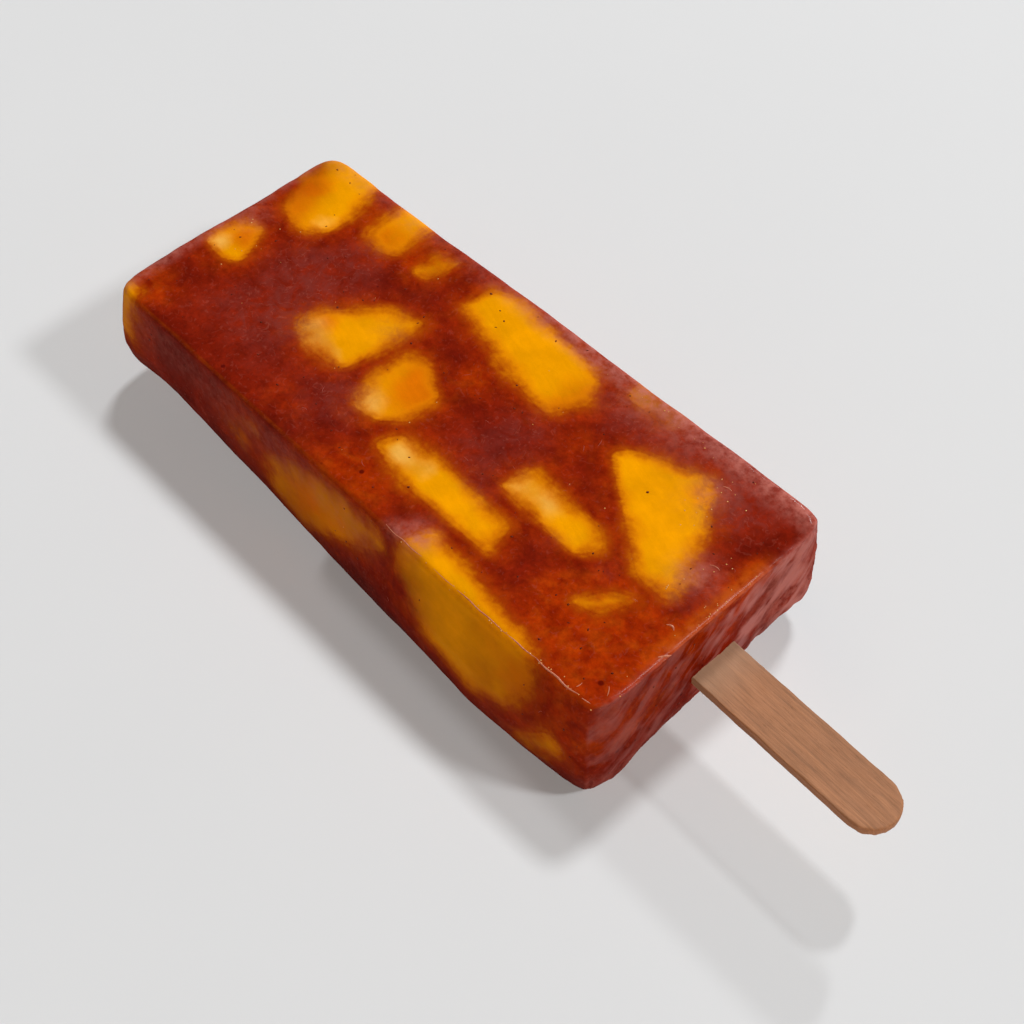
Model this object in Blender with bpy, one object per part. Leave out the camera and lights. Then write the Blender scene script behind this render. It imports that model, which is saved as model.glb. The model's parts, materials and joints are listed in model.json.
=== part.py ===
"""Fruit ice lolly: a block of frozen berry puree with mango pieces set flush in its faces, on a flat stick.

The block lies on its broad face. While it is drawn, x runs from the tip (0) to the stick end, y from the
centre line and z up from the resting face, all in millimetres. The last step moves the origin to the
middle of the whole lolly's footprint.
"""

import math

import bmesh
import bpy
from mathutils import Matrix, Vector

MM = 0.001

# Block, as it comes out of the mould and after a little melting. Each corner of the plan is a quarter of a
# superellipse of this reach and power, with its steps crowded towards the tight middle of the turn.
BLOCK_LENGTH = 121.0
BASE_WIDTH = 53.0
TIP_WIDTH = 50.4
TIP_SKEW = 1.0
BASE_HEIGHT = 27.5
TIP_HEIGHT = 25.9
CORNER_REACH = 15.0
BASE_CORNER_POWER = 7.0
TIP_CORNER_POWER = 8.5
CORNER_STEPS = 10
CORNER_CROWDING = 0.55
LONG_SIDE_STEPS = 9
SHORT_SIDE_STEPS = 4
LOW_EDGE_STEPS = 5
WALL_STEPS = 5
TOP_EDGE_STEPS = 3

# Radius of the edge that the block rests on, largest where the stick end has sagged.
LOW_EDGE_NEAR_TIP = 12.5
LOW_EDGE_NEAR_BASE = 2.0
LOW_EDGE_EASE = 1.7
LOW_EDGE_FAR = 6.0
LOW_EDGE_TIP = 10.0
LOW_EDGE_BASE = 10.0
LOW_EDGE_BASE_SPREAD = 9.0

# Radius of the upper edge, crisp on the near side and the stick end.
TOP_EDGE_CRISP = 1.3
TOP_EDGE_SOFT = 1.9

# How far each wall swells past the plan outline. The near wall swells most at SWELL_X.
SWELL_ALL_ROUND = 0.9
SWELL_TIP = 1.4
SWELL_NEAR = 3.6
SWELL_X = 96.0
SWELL_REACH = 28.0
SWELL_SKEW = 0.75

# Stick: a standard flat one with round ends, frozen in for two thirds of its length.
STICK_LENGTH = 114.0
STICK_WIDTH = 10.0
STICK_THICKNESS = 2.0
STICK_END_X = 159.0
STICK_END_Y = -1.3
STICK_HEIGHT = 13.8
STICK_TURN = math.radians(-2.0)
STICK_EDGE = 0.35
STICK_END_STEPS = 18

# Fruit. Each piece is a cut chunk with a narrower inner end and softened edges.
GAP = 0.3
FRUIT_EDGE = 1.1
FRUIT_EDGE_STEPS = 2
FRUIT_TAPER = 0.86
FRUIT_OVERSHOOT = 7.0

# Faces of the block that fruit is set in: a point on each, the two directions an outline is drawn in, and
# the way out of the ice.
FACES = {
    "top": ((0.0, 0.0, BASE_HEIGHT), (1.0, 0.0, 0.0), (0.0, 1.0, 0.0), (0.0, 0.0, 1.0)),
    "under": ((0.0, 0.0, 0.0), (1.0, 0.0, 0.0), (0.0, 1.0, 0.0), (0.0, 0.0, -1.0)),
    "near": ((0.0, -BASE_WIDTH / 2.0, 0.0), (1.0, 0.0, 0.0), (0.0, 0.0, 1.0), (0.0, -1.0, 0.0)),
    "far": ((0.0, BASE_WIDTH / 2.0, 0.0), (1.0, 0.0, 0.0), (0.0, 0.0, 1.0), (0.0, 1.0, 0.0)),
    "tip": ((0.0, 0.0, 0.0), (0.0, 1.0, 0.0), (0.0, 0.0, 1.0), (-1.0, 0.0, 0.0)),
}

# Fruit by face: depth into the ice, change of that depth for each millimetre along the outline's first
# direction, and the cut outline's corners.
FRUIT = {
    "top": (
        (
            9.5,
            0.0,
            ((6.0, 8.0), (-4.0, 21.5), (1.0, 31.0), (12.0, 28.0), (16.2, 16.5), (15.8, 9.5), (11.0, 6.7)),
        ),
        (8.0, 0.0, ((1.8, -6.7), (1.5, 1.0), (7.0, 3.0), (10.8, -5.2), (7.5, -7.4))),
        (8.5, 0.0, ((20.6, 15.0), (19.8, 32.0), (27.5, 32.0), (29.2, 15.2), (25.6, 13.6))),
        (5.0, 0.0, ((33.0, 15.0), (33.6, 21.2), (38.1, 22.4), (36.8, 14.7))),
        (
            9.0,
            0.0,
            (
                (45.2, 15.6), (46.0, 22.0), (51.1, 24.1), (67.6, 22.4),
                (74.7, 20.8), (76.8, 15.6), (72.9, 8.9), (59.5, 11.2),
            ),
        ),
        (
            7.5,
            0.0,
            ((27.7, -8.4), (29.1, -2.8), (37.2, 6.2), (44.5, 8.2), (44.3, 0.8), (42.0, -9.3), (33.9, -10.2)),
        ),
        (
            9.0,
            0.0,
            (
                (49.0, -12.8), (46.6, -6.0), (46.6, 1.6), (52.0, 2.1),
                (58.1, -1.2), (58.7, -8.4), (54.3, -12.3),
            ),
        ),
        (
            8.0,
            0.0,
            ((57.7, -15.6), (59.4, -11.3), (68.3, -10.5), (85.9, -11.1), (87.5, -17.4), (66.6, -17.8)),
        ),
        (9.0, 0.0, ((78.4, -6.6), (80.2, -0.5), (96.3, -1.8), (99.1, -3.9), (96.7, -7.8), (87.1, -7.1))),
        (
            8.5,
            0.0,
            (
                (86.3, 10.8), (87.8, 13.6), (101.6, 18.7), (105.2, 16.1),
                (112.8, 1.4), (113.0, -3.7), (106.7, -3.6),
            ),
        ),
        (4.5, 0.0, ((102.6, -14.4), (105.5, -8.8), (109.7, -6.6), (107.3, -12.9))),
    ),
    "near": (
        (
            5.5,
            0.0,
            (
                (41.3, 17.0), (51.0, 23.4), (61.5, 24.6), (70.0, 24.6),
                (72.8, 21.6), (61.6, 13.7), (50.0, 5.0), (41.5, 8.0),
            ),
        ),
        (
            3.6,
            -0.17,
            (
                (75.2, 36.0), (107.5, 36.0), (107.6, 22.1), (102.9, 15.3),
                (96.2, 13.0), (84.7, 14.3), (77.0, 19.3),
            ),
        ),
        (4.0, 0.0, ((-8.0, 12.5), (3.5, 14.5), (6.5, 36.0), (-8.0, 36.0))),
        (4.5, 0.0, ((31.5, 16.6), (37.6, 21.8), (38.5, 18.2), (33.9, 12.7))),
        (2.5, 0.0, ((106.5, 9.2), (112.6, 15.4), (115.3, 13.0), (110.0, 6.0))),
    ),
    "far": (
        (5.0, 0.0, ((79.5, 36.0), (88.5, 36.0), (92.5, 17.0), (85.0, 8.5), (78.5, 16.0))),
        (5.5, 0.0, ((34.0, 6.5), (36.5, 14.0), (57.0, 16.5), (61.0, 10.0), (50.0, 4.0))),
        (5.0, 0.0, ((100.0, 6.0), (97.5, 14.5), (107.0, 19.0), (113.0, 12.0), (110.0, 7.0))),
    ),
    "tip": (
        (5.0, 0.0, ((-15.0, 6.0), (-16.5, 14.0), (-3.5, 16.5), (-1.0, 8.5))),
        (5.5, 0.0, ((6.0, 4.5), (5.0, 11.5), (14.5, 13.0), (16.0, 6.0))),
    ),
    "under": (
        (8.0, 0.0, ((9.5, -14.0), (8.0, -5.0), (17.0, -1.0), (29.0, -7.5), (24.0, -15.0))),
        (7.0, 0.0, ((15.5, 7.5), (18.0, 17.0), (26.0, 18.0), (28.5, 9.0), (22.0, 4.0))),
        (7.0, 0.0, ((36.0, -9.5), (36.5, -3.5), (62.0, -9.0), (64.5, -15.5), (57.0, -17.0))),
        (9.0, 0.0, ((39.0, 4.0), (44.0, 17.5), (60.0, 13.0), (58.0, 8.0))),
        (5.0, 0.0, ((72.0, -4.0), (71.0, 2.5), (77.5, 4.0), (80.0, -2.5))),
        (8.0, 0.0, ((76.5, -17.5), (74.5, -10.5), (84.0, -7.0), (98.0, -10.0), (97.0, -17.0))),
        (8.5, 0.0, ((80.0, 9.0), (83.5, 18.0), (99.0, 15.0), (105.0, 7.0), (97.0, 3.5))),
        (4.0, 0.0, ((102.5, -8.0), (104.0, -2.0), (110.5, -0.5), (111.0, -4.0))),
    ),
}

# Edges that turn by more than this stay sharp.
SHARP_ANGLE = math.radians(32.0)

ICE_COLOUR = (0.30, 0.025, 0.012)
FRUIT_COLOUR = (0.90, 0.42, 0.015)
WOOD_COLOUR = (0.47, 0.26, 0.13)


def clear_scene():
    """Remove whatever the file opened with."""
    for thing in list(bpy.data.objects):
        bpy.data.objects.remove(thing, do_unlink=True)


def material(name, colour, roughness):
    """Plain principled material."""
    made = bpy.data.materials.new(name)
    made.use_nodes = True
    shader = made.node_tree.nodes["Principled BSDF"]
    shader.inputs["Base Color"].default_value = (*colour, 1.0)
    shader.inputs["Roughness"].default_value = roughness
    shader.inputs["Metallic"].default_value = 0.0
    return made


def mix(low, high, part):
    """Value between low and high, part of the way along."""
    return low + (high - low) * part


def smooth(value):
    """Ease from 0 to 1, flat at both ends."""
    value = min(max(value, 0.0), 1.0)
    return value * value * (3.0 - 2.0 * value)


def half_width(x):
    """Half the plan width at x."""
    return mix(TIP_WIDTH, BASE_WIDTH, x / BLOCK_LENGTH) / 2.0


def top_height(x):
    """Height of the upper face at x."""
    return mix(TIP_HEIGHT, BASE_HEIGHT, x / BLOCK_LENGTH)


def corner_arm(angle, power):
    """Vector from a corner's centre to the outline, at an angle in degrees."""
    across = math.cos(math.radians(angle))
    along = math.sin(math.radians(angle))
    reach = CORNER_REACH / (abs(across) ** power + abs(along) ** power) ** (1.0 / power)
    return Vector((across, along)) * reach


def plan_outline():
    """Plan of the block as (centre, arm) pairs, counterclockwise. A plan point lies at the arm's end, and
    moves in or out along it."""
    inner_base = half_width(BLOCK_LENGTH) - CORNER_REACH
    inner_tip = half_width(0.0) - CORNER_REACH
    corners = (
        (CORNER_REACH - TIP_SKEW, -inner_tip, 180.0, TIP_CORNER_POWER, LONG_SIDE_STEPS),
        (BLOCK_LENGTH - CORNER_REACH, -inner_base, 270.0, BASE_CORNER_POWER, SHORT_SIDE_STEPS),
        (BLOCK_LENGTH - CORNER_REACH, inner_base, 0.0, BASE_CORNER_POWER, LONG_SIDE_STEPS),
        (CORNER_REACH, inner_tip, 90.0, TIP_CORNER_POWER, SHORT_SIDE_STEPS),
    )
    outline = []
    for index, (x, y, start, power, side_steps) in enumerate(corners):
        centre = Vector((x, y))
        for step in range(CORNER_STEPS + 1):
            across = 2.0 * step / CORNER_STEPS - 1.0
            crowded = mix(across, across**3, CORNER_CROWDING)
            outline.append((centre, corner_arm(start + 45.0 * (1.0 + crowded), power)))
        after = corners[(index + 1) % len(corners)]
        for step in range(1, side_steps):
            between = centre.lerp(Vector(after[:2]), step / side_steps)
            outline.append((between, outline[-step][1].normalized() * CORNER_REACH))
    return outline


def by_side(arm, near, far, base, tip):
    """Blend of the four sides' values for a wall that faces along arm."""
    facing = arm.normalized()
    across = far if facing.y > 0.0 else near
    along = base if facing.x > 0.0 else tip
    return across * facing.y**2 + along * facing.x**2


def low_edge(point, arm):
    """Radius of the resting edge at a plan point."""
    near = mix(LOW_EDGE_NEAR_TIP, LOW_EDGE_NEAR_BASE, smooth(point.x / BLOCK_LENGTH * LOW_EDGE_EASE))
    base = LOW_EDGE_BASE + LOW_EDGE_BASE_SPREAD * point.y / BASE_WIDTH
    return by_side(arm, near, LOW_EDGE_FAR, base, LOW_EDGE_TIP)


def swell(point, arm, level):
    """Outward swelling of the wall at a plan point, with level 0 at the bottom and 1 at the top."""
    near = SWELL_NEAR * math.exp(-(((point.x - SWELL_X) / SWELL_REACH) ** 2))
    most = SWELL_ALL_ROUND + by_side(arm, near, 0.0, 0.0, SWELL_TIP)
    return most * math.sin(math.pi * min(max(level, 0.0), 1.0) ** SWELL_SKEW)


def wall_profile(centre, arm):
    """Points of the wall over one plan point, from the resting face up to the upper face."""
    point = centre + arm
    low = low_edge(point, arm)
    top = by_side(arm, TOP_EDGE_CRISP, TOP_EDGE_SOFT, TOP_EDGE_CRISP, TOP_EDGE_SOFT)
    full = top_height(point.x)
    levels = []
    for step in range(LOW_EDGE_STEPS):
        angle = math.pi / 2.0 * step / LOW_EDGE_STEPS
        levels.append((-low * (1.0 - math.sin(angle)), low * (1.0 - math.cos(angle))))
    for step in range(WALL_STEPS + 1):
        levels.append((0.0, mix(low, full - top, step / WALL_STEPS)))
    for step in range(1, TOP_EDGE_STEPS + 1):
        angle = math.pi / 2.0 * step / TOP_EDGE_STEPS
        levels.append((-top * (1.0 - math.cos(angle)), full - top * (1.0 - math.sin(angle))))
    profile = []
    for offset, height in levels:
        place = centre + arm * (1.0 + (offset + swell(point, arm, height / full)) / CORNER_REACH)
        drop = full - height
        profile.append(Vector((place.x, place.y, top_height(place.x) - drop if drop < top else height)))
    profile[0].z = 0.0
    return profile


def new_object(name, mesh_builder, finish):
    """Object whose mesh is taken from a bmesh drawn in millimetres."""
    bmesh.ops.recalc_face_normals(mesh_builder, faces=mesh_builder.faces)
    bmesh.ops.scale(mesh_builder, vec=(MM, MM, MM), verts=mesh_builder.verts)
    mesh = bpy.data.meshes.new(name)
    mesh_builder.to_mesh(mesh)
    mesh_builder.free()
    thing = bpy.data.objects.new(name, mesh)
    bpy.context.scene.collection.objects.link(thing)
    if finish:
        mesh.materials.append(finish)
    mesh.shade_smooth()
    mesh.set_sharp_from_angle(angle=SHARP_ANGLE)
    return thing


def as_helper(thing):
    """Keep a cutter out of the render."""
    thing.hide_render = True
    thing.display_type = "WIRE"
    return thing


def block(name, finish):
    """The whole block, before anything is let into it."""
    builder = bmesh.new()
    columns = []
    for centre, arm in plan_outline():
        columns.append([builder.verts.new(place) for place in wall_profile(centre, arm)])
    for index, column in enumerate(columns):
        beside = columns[(index + 1) % len(columns)]
        for level in range(len(column) - 1):
            builder.faces.new((column[level], beside[level], beside[level + 1], column[level + 1]))
    builder.faces.new([column[0] for column in reversed(columns)])
    builder.faces.new([column[-1] for column in columns])
    return new_object(name, builder, finish)


def spread(outline, distance):
    """Outline with each side moved out by distance."""
    corners = [Vector(corner) for corner in outline]
    pairs = list(zip(corners, corners[1:] + corners[:1]))
    area = sum(start.cross(end) for start, end in pairs)
    outwards = math.copysign(1.0, area)
    normals = [Vector((end.y - start.y, start.x - end.x)).normalized() * outwards for start, end in pairs]
    moved = []
    for index, corner in enumerate(corners):
        before, after = normals[index - 1], normals[index]
        moved.append(corner + (before + after) * distance / (1.0 + before.dot(after)))
    return moved


def add_fruit(builder, face, depth, slope, outline, grow):
    """Draw one cut chunk, or with grow the pocket that it sits in, from its outline on one of the faces."""
    origin, first, second, out = (Vector(value) for value in FACES[face])
    corners = spread(outline, grow)
    middle = sum(corners, Vector((0.0, 0.0))) / len(corners)
    flare = 1.0 + (1.0 - FRUIT_TAPER) * FRUIT_OVERSHOOT / depth
    outer = []
    inner = []
    for corner in corners:
        flared = middle + (corner - middle) * flare
        outer.append(builder.verts.new(origin + first * flared.x + second * flared.y + out * FRUIT_OVERSHOOT))
        drawn_in = middle + (corner - middle) * FRUIT_TAPER
        level = depth + grow + slope * (drawn_in.x - middle.x)
        inner.append(builder.verts.new(origin + first * drawn_in.x + second * drawn_in.y - out * level))
    builder.faces.new(outer)
    base = builder.faces.new(list(reversed(inner)))
    for index in range(len(corners)):
        after = (index + 1) % len(corners)
        builder.faces.new((outer[after], outer[index], inner[index], inner[after]))
    soft = set(base.edges)
    for top, bottom in zip(outer, inner):
        soft.update(edge for edge in bottom.link_edges if top in edge.verts)
    bmesh.ops.bevel(
        builder,
        geom=list(soft),
        offset=FRUIT_EDGE,
        offset_type="OFFSET",
        segments=FRUIT_EDGE_STEPS,
        profile=0.5,
        affect="EDGES",
        clamp_overlap=True,
    )


def add_stick(builder, grow, reach):
    """Draw the stick, or with grow the slot around it, carried on past its outer end by reach."""
    radius = STICK_WIDTH / 2.0 + grow
    centres = (STICK_WIDTH / 2.0 - STICK_LENGTH, reach - STICK_WIDTH / 2.0)
    outline = []
    for centre, start in zip(centres, (90.0, 270.0)):
        for step in range(STICK_END_STEPS + 1):
            angle = math.radians(start + 180.0 * step / STICK_END_STEPS)
            outline.append(Vector((centre + radius * math.cos(angle), radius * math.sin(angle), 0.0)))
    place = Matrix.Translation((STICK_END_X, STICK_END_Y, STICK_HEIGHT)) @ Matrix.Rotation(STICK_TURN, 4, "Z")
    half = Vector((0.0, 0.0, STICK_THICKNESS / 2.0 + grow))
    lower = [builder.verts.new(place @ (point - half)) for point in outline]
    upper = [builder.verts.new(place @ (point + half)) for point in outline]
    rims = [builder.faces.new(list(reversed(lower))), builder.faces.new(upper)]
    for index in range(len(outline)):
        after = (index + 1) % len(outline)
        builder.faces.new((lower[index], lower[after], upper[after], upper[index]))
    if not grow:
        edges = [edge for face in rims for edge in face.edges]
        bmesh.ops.bevel(
            builder,
            geom=edges,
            offset=STICK_EDGE,
            offset_type="OFFSET",
            segments=1,
            profile=0.5,
            affect="EDGES",
        )


def boolean(thing, other, operation):
    """Live exact Boolean between two objects."""
    modifier = thing.modifiers.new(f"{operation.lower()} {other.name}", "BOOLEAN")
    modifier.operation = operation
    modifier.solver = "EXACT"
    modifier.object = other


def rest_on_origin(things, visible):
    """Move everything so that the origin is the middle of the footprint, at the resting face."""
    corners = [vertex.co for thing in visible for vertex in thing.data.vertices]
    low = [min(corner[axis] for corner in corners) for axis in range(3)]
    high = [max(corner[axis] for corner in corners) for axis in range(3)]
    for thing in things:
        thing.location = (-(low[0] + high[0]) / 2.0, -(low[1] + high[1]) / 2.0, -low[2])


def main():
    clear_scene()
    ice = material("berry_ice", ICE_COLOUR, 0.25)
    fruit = material("mango", FRUIT_COLOUR, 0.35)
    wood = material("birch_wood", WOOD_COLOUR, 0.65)

    body = block("ice_body", ice)
    whole = as_helper(block("whole_block", ice))

    builder = bmesh.new()
    add_stick(builder, 0.0, 0.0)
    stick = new_object("stick", builder, wood)

    builder = bmesh.new()
    add_stick(builder, GAP, FRUIT_OVERSHOOT)
    for face, pieces in FRUIT.items():
        for depth, slope, outline in pieces:
            add_fruit(builder, face, depth, slope, outline, GAP)
    pockets = as_helper(new_object("pockets", builder, ice))
    boolean(body, pockets, "DIFFERENCE")

    for face, pieces in FRUIT.items():
        for number, (depth, slope, outline) in enumerate(pieces, start=1):
            builder = bmesh.new()
            add_fruit(builder, face, depth, slope, outline, 0.0)
            piece = new_object(f"mango_{face}_{number:02d}", builder, fruit)
            boolean(piece, whole, "INTERSECT")

    rest_on_origin(list(bpy.data.objects), (whole, stick))


main()
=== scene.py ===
"""Fruit ice lolly: frozen berry puree with mango pieces in it, on a flat birch stick."""

import json
import math
import random
from contextlib import contextmanager
from functools import partial

import bpy
import numpy as np
from mathutils import Matrix, Vector
from mathutils.bvhtree import BVHTree

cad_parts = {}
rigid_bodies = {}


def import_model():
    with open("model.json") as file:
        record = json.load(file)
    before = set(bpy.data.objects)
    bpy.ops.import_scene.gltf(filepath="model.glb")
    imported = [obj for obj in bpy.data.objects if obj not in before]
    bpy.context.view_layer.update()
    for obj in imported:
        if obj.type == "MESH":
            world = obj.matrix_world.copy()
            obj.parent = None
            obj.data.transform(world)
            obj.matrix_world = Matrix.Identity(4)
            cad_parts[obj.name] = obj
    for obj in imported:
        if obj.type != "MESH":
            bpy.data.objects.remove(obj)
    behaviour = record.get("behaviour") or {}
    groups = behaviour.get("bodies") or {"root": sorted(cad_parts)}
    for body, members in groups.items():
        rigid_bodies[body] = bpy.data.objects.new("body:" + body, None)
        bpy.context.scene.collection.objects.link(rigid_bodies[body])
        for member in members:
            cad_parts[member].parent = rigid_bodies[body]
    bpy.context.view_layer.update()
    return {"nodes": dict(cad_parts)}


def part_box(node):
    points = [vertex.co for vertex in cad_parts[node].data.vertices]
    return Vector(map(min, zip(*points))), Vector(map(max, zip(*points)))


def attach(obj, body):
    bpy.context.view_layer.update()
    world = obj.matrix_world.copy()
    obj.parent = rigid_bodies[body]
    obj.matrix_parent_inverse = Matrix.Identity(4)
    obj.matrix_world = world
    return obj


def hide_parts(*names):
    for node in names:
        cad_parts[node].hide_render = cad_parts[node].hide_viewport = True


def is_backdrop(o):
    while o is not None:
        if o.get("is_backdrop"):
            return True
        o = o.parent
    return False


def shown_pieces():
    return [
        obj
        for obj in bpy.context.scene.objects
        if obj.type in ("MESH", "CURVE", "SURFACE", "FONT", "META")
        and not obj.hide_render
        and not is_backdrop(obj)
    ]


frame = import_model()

bl_info = {
    "name": "Fruit Ice Lolly",
    "version": (1, 0, 0),
    "blender": (4, 5, 0),
    "location": "3D View > Sidebar > Lolly",
    "description": "Builds a fruit ice lolly and the table it is shown on",
    "category": "Add Mesh",
}

MM = 0.001
ICE = "ice_body"
STICK = "stick"
FRUIT = sorted(name for name in frame["nodes"] if name.startswith("mango_"))

# The block's own measure, in millimetres: x from the tip, y from the centre line and z up from the table.
BLOCK_ORIGIN = Vector((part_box(ICE)[0].x / MM + 3.35, 1.72, 0))
BLOCK_LENGTH = 121.0
BLOCK_HEIGHT = 27.5
TIP_HEIGHT = 26.0
# Slant of the flakes and frost streaks on the stick end.
FLAKE_SLANT = math.radians(38.0)
STICK_TURN = math.radians(-2.0)
# For the block's skin: vertices this close are one, the solids are grown so that no gap is left between
# them and the skin comes back after, and the stick's copy ends this far behind the stick end's face.
MERGE_DISTANCE = 0.002 * MM
WELD_OUT = 0.25 * MM
WELD_BACK = 0.2 * MM
CORE_SET_BACK = 0.5 * MM

# Soft patches of colour, as (x, y, z, reach, strength) in the block's own measure.
PATCHES = {
    # Mauve frost just under the skin, its mauve partly a painted sheen.
    "haze": (
        (21, 1, 26, 8, 1), (22, -8, 26, 6.5, 0.8), (26, 8, 26, 6, 0.8), (17, -14, 26, 6, 0.5),
        (28, -14, 26, 7, 0.6), (41.5, 3, 26, 3.5, 0.4), (46, -14, 26, 7, 0.8), (38, 11, 26, 5, 0.4),
        (73, 3, 27, 6, 0.7), (72, -4, 27, 6, 0.6), (77, -9.5, 27, 3.5, 0.6), (92, -9, 27, 3.5, 0.5),
        (85, 19, 27, 6, 0.8), (96, 22, 27, 6, 0.7), (107, 18, 27, 8, 1), (114, 0, 27.5, 4.5, 1),
        (103, -7, 27, 3, 0.4), (28, -8.5, 26, 3.6, 0.8), (12, -27, 15, 10, 0.55), (30, -27, 14, 9, 0.8),
        (45, -27, 20, 7, 0.7), (66, -27, 9, 8, 0.6), (103, -27, 8, 9, 0.6),
    ),
    # Juice-rich, orange red puree.
    "warm": (
        (112, -18, 27, 9, 1), (103, -17, 27, 8, 0.8), (108, -10, 27, 8, 0.9), (84, -23, 27, 7, 0.6),
        (61, -23, 27, 9, 0.8), (59, 5, 27, 6, 0.7), (31, 19, 26, 6, 1), (18.5, 18, 26, 5.5, 1),
        (14, 5, 26, 4, 0.5), (88, -8.5, 27, 4, 0.6), (3, -20, 26, 7, 0.8), (42, -21, 26, 8, 0.4),
        (80, 8, 27, 6, 0.5), (118, -22, 20, 9, 0.8), (114, -26, 18, 8, 0.6), (3, 5, 26, 5, 0.5),
        (121, -6, 25, 6, 1), (120, 4, 26, 6, 1), (121, -14, 22, 6, 0.9), (119, 12, 27, 4, 0.7),
    ),
    # Pale, frosted flesh.
    "cream": (
        (33.5, -10.5, 26, 4, 1), (38, -9, 26, 3, 0.7), (29.5, -6.5, 26, 3.5, 0.5), (49.5, -11.5, 26.5, 4, 1),
        (62.5, -14, 26.5, 3.6, 0.9), (67.5, -12.5, 26.5, 2.6, 0.6), (80.5, -4.5, 27, 4.2, 0.7),
        (86.5, -3.5, 27, 3.2, 0.7), (3.5, -5.5, 26, 3, 0.9), (13, 11.5, 26, 3, 0.4), (0, -23, 17, 5, 0.4),
        (17, -10, 0, 6, 0.7), (50, 8, 0, 6, 0.7), (90, 8, 0, 5, 0.6),
    ),
    # Riper, orange flesh.
    "amber": (
        (6, 9, 26, 5, 1), (5.5, 15.5, 26, 4, 0.9), (6.5, -1, 26, 4, 1), (24.5, 16.5, 26, 6, 0.9),
        (75.5, 16, 27, 5.5, 0.9), (74, 11, 27, 3.5, 0.8), (111.5, -3, 27, 3.5, 0.6), (56, -2.5, 26.6, 7.5, 1),
        (52, 1.5, 26.6, 4, 0.8), (31, -4, 26.3, 3.5, 0.7), (86.5, -15.5, 27, 3, 0.6), (106, -27, 22, 6, 0.9),
        (55, -27, 16, 14, 0.7), (102, 16, 27, 4, 0.5),
    ),
    # Puree frozen over the fruit, which dims it.
    "veil": (
        (35.5, 19, 26.5, 5.5, 0.5), (106, -10.5, 27.4, 6, 0.35), (35, -26, 17, 6, 0.8),
        (110, -27, 11, 6, 0.72), (48, -27, 12, 8, 0.4), (68, -28, 19, 6, 0.45), (77.5, -28, 17, 6, 0.9),
        (-0.5, 9, 25.5, 4.5, 1), (0, 14, 25.5, 4.8, 1), (0, 19.5, 25.5, 4.2, 0.95), (45, -26.2, 21, 3, 0.9),
        (51, -26.2, 23.5, 3.4, 0.95), (58.5, -26.2, 25, 3.4, 0.95), (65, -26, 26.5, 3.4, 0.9),
        (33, -8.5, 26, 3, 0.3), (100, -28, 15, 6, 0.45), (85, 26.5, 27, 8, 0.93), (84, 26.5, 14, 9, 0.45),
        (48, 26.5, 8, 10, 0.6), (105, 26.5, 12, 8, 0.55), (0, -9, 11, 7, 0.5), (0, 11, 9, 7, 0.6),
        (28, 10, 0, 9, 0.45), (76, 0, 0, 7, 0.6), (106, -3, 0, 7, 0.6),
    ),
}
# Frost that has settled on top.
RIME_PATCHES = (
    (76.5, -23.2, 27, 2.6, 0.95), (73, -25.2, 27, 1.8, 0.8), (112.5, 3.5, 27.5, 3.2, 0.7),
    (104, 17, 27, 3, 0.5), (92, 24, 27, 5, 0.6), (81, 23, 27, 5, 0.5), (120, -24, 23, 2.6, 0.6),
    (2.5, 3, 26, 3, 0.5),
)


# ---- small tools


def on_block(x, y, z):
    """A place given in the block's own measure, in the scene."""
    return (BLOCK_ORIGIN + Vector((x, y, z))) * MM


def linear(code):
    """Linear colour from an sRGB hex code."""
    values = [int(code[i : i + 2], 16) / 255.0 for i in (1, 3, 5)]
    return tuple(v / 12.92 if v <= 0.04045 else ((v + 0.055) / 1.055) ** 2.4 for v in values)


def ink(code):
    """The same, with full opacity, as a shader socket wants it."""
    return (*linear(code), 1.0)


def pick(*things):
    """Select only these objects, the first of them active."""
    bpy.ops.object.select_all(action="DESELECT")
    for thing in things:
        thing.select_set(True)
    bpy.context.view_layer.objects.active = things[0]


@contextmanager
def editing(thing):
    """Edit mode on one object, with all of its mesh selected at first."""
    pick(thing)
    bpy.ops.object.mode_set(mode="EDIT")
    bpy.ops.mesh.select_all(action="SELECT")
    yield
    bpy.ops.object.mode_set(mode="OBJECT")


def apply_modifiers(thing):
    """Apply every modifier of a piece, from the top of its stack down."""
    pick(thing)
    for modifier in list(thing.modifiers):
        bpy.ops.object.modifier_apply(modifier=modifier.name)


def new_object(name, mesh):
    """Object in the scene at the origin."""
    made = bpy.data.objects.new(name, mesh)
    bpy.context.scene.collection.objects.link(made)
    return made


def copy_of(node, name):
    """A merged copy of a CAD node, standing where the node does."""
    made = new_object(name, frame["nodes"][node].data.copy())
    made.data.materials.clear()
    pick(made)
    bpy.ops.mesh.customdata_custom_splitnormals_clear()
    with editing(made):
        bpy.ops.mesh.remove_doubles(threshold=MERGE_DISTANCE)
        bpy.ops.mesh.normals_make_consistent(inside=False)
    return made


def fatten(thing, distance):
    """Move a piece's skin out by a distance."""
    with editing(thing):
        bpy.ops.transform.shrink_fatten(value=distance)


def remesh(thing, voxel):
    """Give a piece an even skin of small faces."""
    pick(thing)
    thing.data.remesh_voxel_size = voxel
    thing.data.remesh_voxel_adaptivity = 0.0
    bpy.ops.object.voxel_remesh()
    bpy.ops.object.shade_smooth()


def settle(thing, rounds):
    """Ease the steps that a remesh leaves."""
    smooth = thing.modifiers.new("settle", "SMOOTH")
    smooth.factor = 0.5
    smooth.iterations = rounds
    apply_modifiers(thing)


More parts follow.
